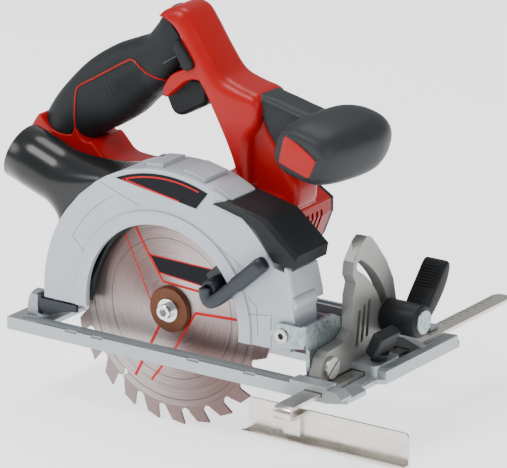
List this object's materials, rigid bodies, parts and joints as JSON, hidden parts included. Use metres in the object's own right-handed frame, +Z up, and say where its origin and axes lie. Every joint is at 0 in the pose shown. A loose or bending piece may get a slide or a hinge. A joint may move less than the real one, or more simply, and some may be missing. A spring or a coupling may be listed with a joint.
{
  "type": "circular saw",
  "caption": "Cordless hand circular saw with tilting, depth-adjustable cast sole, swinging lower guard, second handle, dust port and sliding parallel guide.",
  "frame": {"origin": "on the underside of the sole, in the blade's plane, straight below the blade's axis", "axes": "+X forward along the cut, +Y towards the motor, +Z up off the workpiece"},
  "size_m": [0.336, 0.2535, 0.258],
  "materials": {
    "cast_sole": "satin cast alloy",
    "cast_quadrant": "satin cast alloy",
    "guard_casting": "satin blue-grey",
    "case_casting": "cast",
    "zinc_plate": "zinc plated, spangled",
    "black_bracket": "dark blue-black",
    "steel_parts": "machined",
    "blade_steel": "brushed, rose tinted",
    "flange_bronze": "brown burnished",
    "chrome_parts": "bright",
    "nickel_guide": "nickel plated",
    "red_plastic": "satin red",
    "black_plastic": "fine grain black",
    "gloss_black": "gloss black",
    "dark_grey_plastic": "dark grey, fine grain",
    "grip_rubber": "soft black rubber",
    "label_print": "printed film",
    "clear_lens": "clear",
    "copper_parts": "copper",
    "iron_core": "laminated",
    "board_green": "circuit board"
  },
  "bodies": {
    "base": {"sole_plate": "cast_sole", "bevel_quadrant": "cast_quadrant", "quadrant_screws": "steel_parts", "tilt_pivots": "steel_parts"},
    "bevel_frame": {"bevel_bracket": "zinc_plate", "depth_pivot_bolt": "steel_parts", "bevel_clamp_bolt": "steel_parts", "rear_tilt_bracket": "black_bracket", "depth_strap": "zinc_plate", "strap_rivets": "zinc_plate"},
    "saw_body": {"upper_guard": "guard_casting", "front_cover": "black_plastic", "light_lens": "clear_lens", "dust_port": "gloss_black", "gear_case": "case_casting", "bearing_plate": "case_casting", "ball_bearings": "steel_parts", "motor_can": "steel_parts", "motor_magnets": "iron_core", "brush_gear": "black_plastic", "guard_return_spring": "steel_parts", "motor_housing": "red_plastic", "motor_end_cap": "black_plastic", "handle_shell_near": "red_plastic", "handle_shell_far": "red_plastic", "grip_pads": "grip_rubber", "handle_screws": "steel_parts", "front_handle": "dark_grey_plastic", "front_handle_insert": "red_plastic", "switch_body": "black_plastic", "control_board": "board_green", "battery_shoe": "black_plastic", "battery_terminals": "copper_parts", "depth_bolt": "steel_parts", "gear_case_screws": "steel_parts", "guard_label": "label_print"},
    "spindle": {"blade": "blade_steel", "inner_flange": "steel_parts", "outer_flange": "flange_bronze", "blade_washer": "chrome_parts", "blade_bolt": "chrome_parts", "spindle_shaft": "steel_parts", "drive_gear": "steel_parts"},
    "rotor": {"motor_shaft": "steel_parts", "motor_pinion": "steel_parts", "cooling_fan": "black_plastic", "armature": "iron_core", "commutator": "copper_parts"},
    "lower_guard_body": {"lower_guard": "gloss_black", "lower_guard_lever": "dark_grey_plastic"},
    "trigger_body": {"trigger": "black_plastic"},
    "lock_off": {"lock_off_button": "black_plastic"},
    "spindle_lock_body": {"spindle_lock": "steel_parts"},
    "depth_clamp": {"depth_lever": "black_plastic"},
    "bevel_clamp": {"bevel_lever": "black_plastic", "bevel_lever_cap": "zinc_plate"},
    "guide": {"guide_rail": "nickel_guide", "guide_fence": "nickel_guide"},
    "guide_clamp": {"wing_screw": "black_plastic"}
  },
  "joints": [
    {"name": "bevel_tilt", "type": "hinge", "parent": "base", "child": "bevel_frame", "pos_m": [0, -0.002, 0.014], "axis": [1, 0, 0], "range_deg": [0, 45]},
    {"name": "depth_pivot", "type": "hinge", "parent": "bevel_frame", "child": "saw_body", "pos_m": [0.093, 0, 0.033], "axis": [0, 1, 0], "range_deg": [0, 30]},
    {"name": "blade_spin", "type": "hinge", "parent": "saw_body", "child": "spindle", "pos_m": [0, 0, 0.028], "axis": [0, 1, 0], "continuous": true},
    {"name": "rotor_spin", "type": "hinge", "parent": "saw_body", "child": "rotor", "pos_m": [0.0088, 0, 0.04324], "axis": [0, 1, 0], "continuous": true},
    {"name": "guard_swing", "type": "hinge", "parent": "saw_body", "child": "lower_guard_body", "pos_m": [0, 0, 0.028], "axis": [0, -1, 0], "range_deg": [0, 142]},
    {"name": "trigger_pull", "type": "slide", "parent": "saw_body", "child": "trigger_body", "axis": [0, 0, 1], "range_m": [0, 0.005]},
    {"name": "lock_off_press", "type": "slide", "parent": "saw_body", "child": "lock_off", "axis": [0, 1, 0], "range_m": [0, 0.003]},
    {"name": "spindle_lock_press", "type": "slide", "parent": "saw_body", "child": "spindle_lock_body", "axis": [1, 0, 0], "range_m": [0, 0.0016]},
    {"name": "depth_clamp_turn", "type": "hinge", "parent": "saw_body", "child": "depth_clamp", "pos_m": [-0.045, 0, 0.033], "axis": [0, 1, 0], "range_deg": [0, 50]},
    {"name": "bevel_clamp_turn", "type": "hinge", "parent": "bevel_frame", "child": "bevel_clamp", "pos_m": [0, 0.06093, 0.03027], "axis": [1, 0, 0], "range_deg": [-40, 0]},
    {"name": "guide_slide", "type": "slide", "parent": "base", "child": "guide", "axis": [0, 1, 0], "range_m": [-0.15, 0.018]},
    {"name": "guide_clamp_turn", "type": "hinge", "parent": "base", "child": "guide_clamp", "pos_m": [0.1265, 0.033, 0.00595], "axis": [0.4226, 0, 0.9063], "range_deg": [0, 180]}
  ],
  "couplings": [
    {"joint": "rotor_spin", "follows": "blade_spin", "ratio": -4.5}
  ]
}
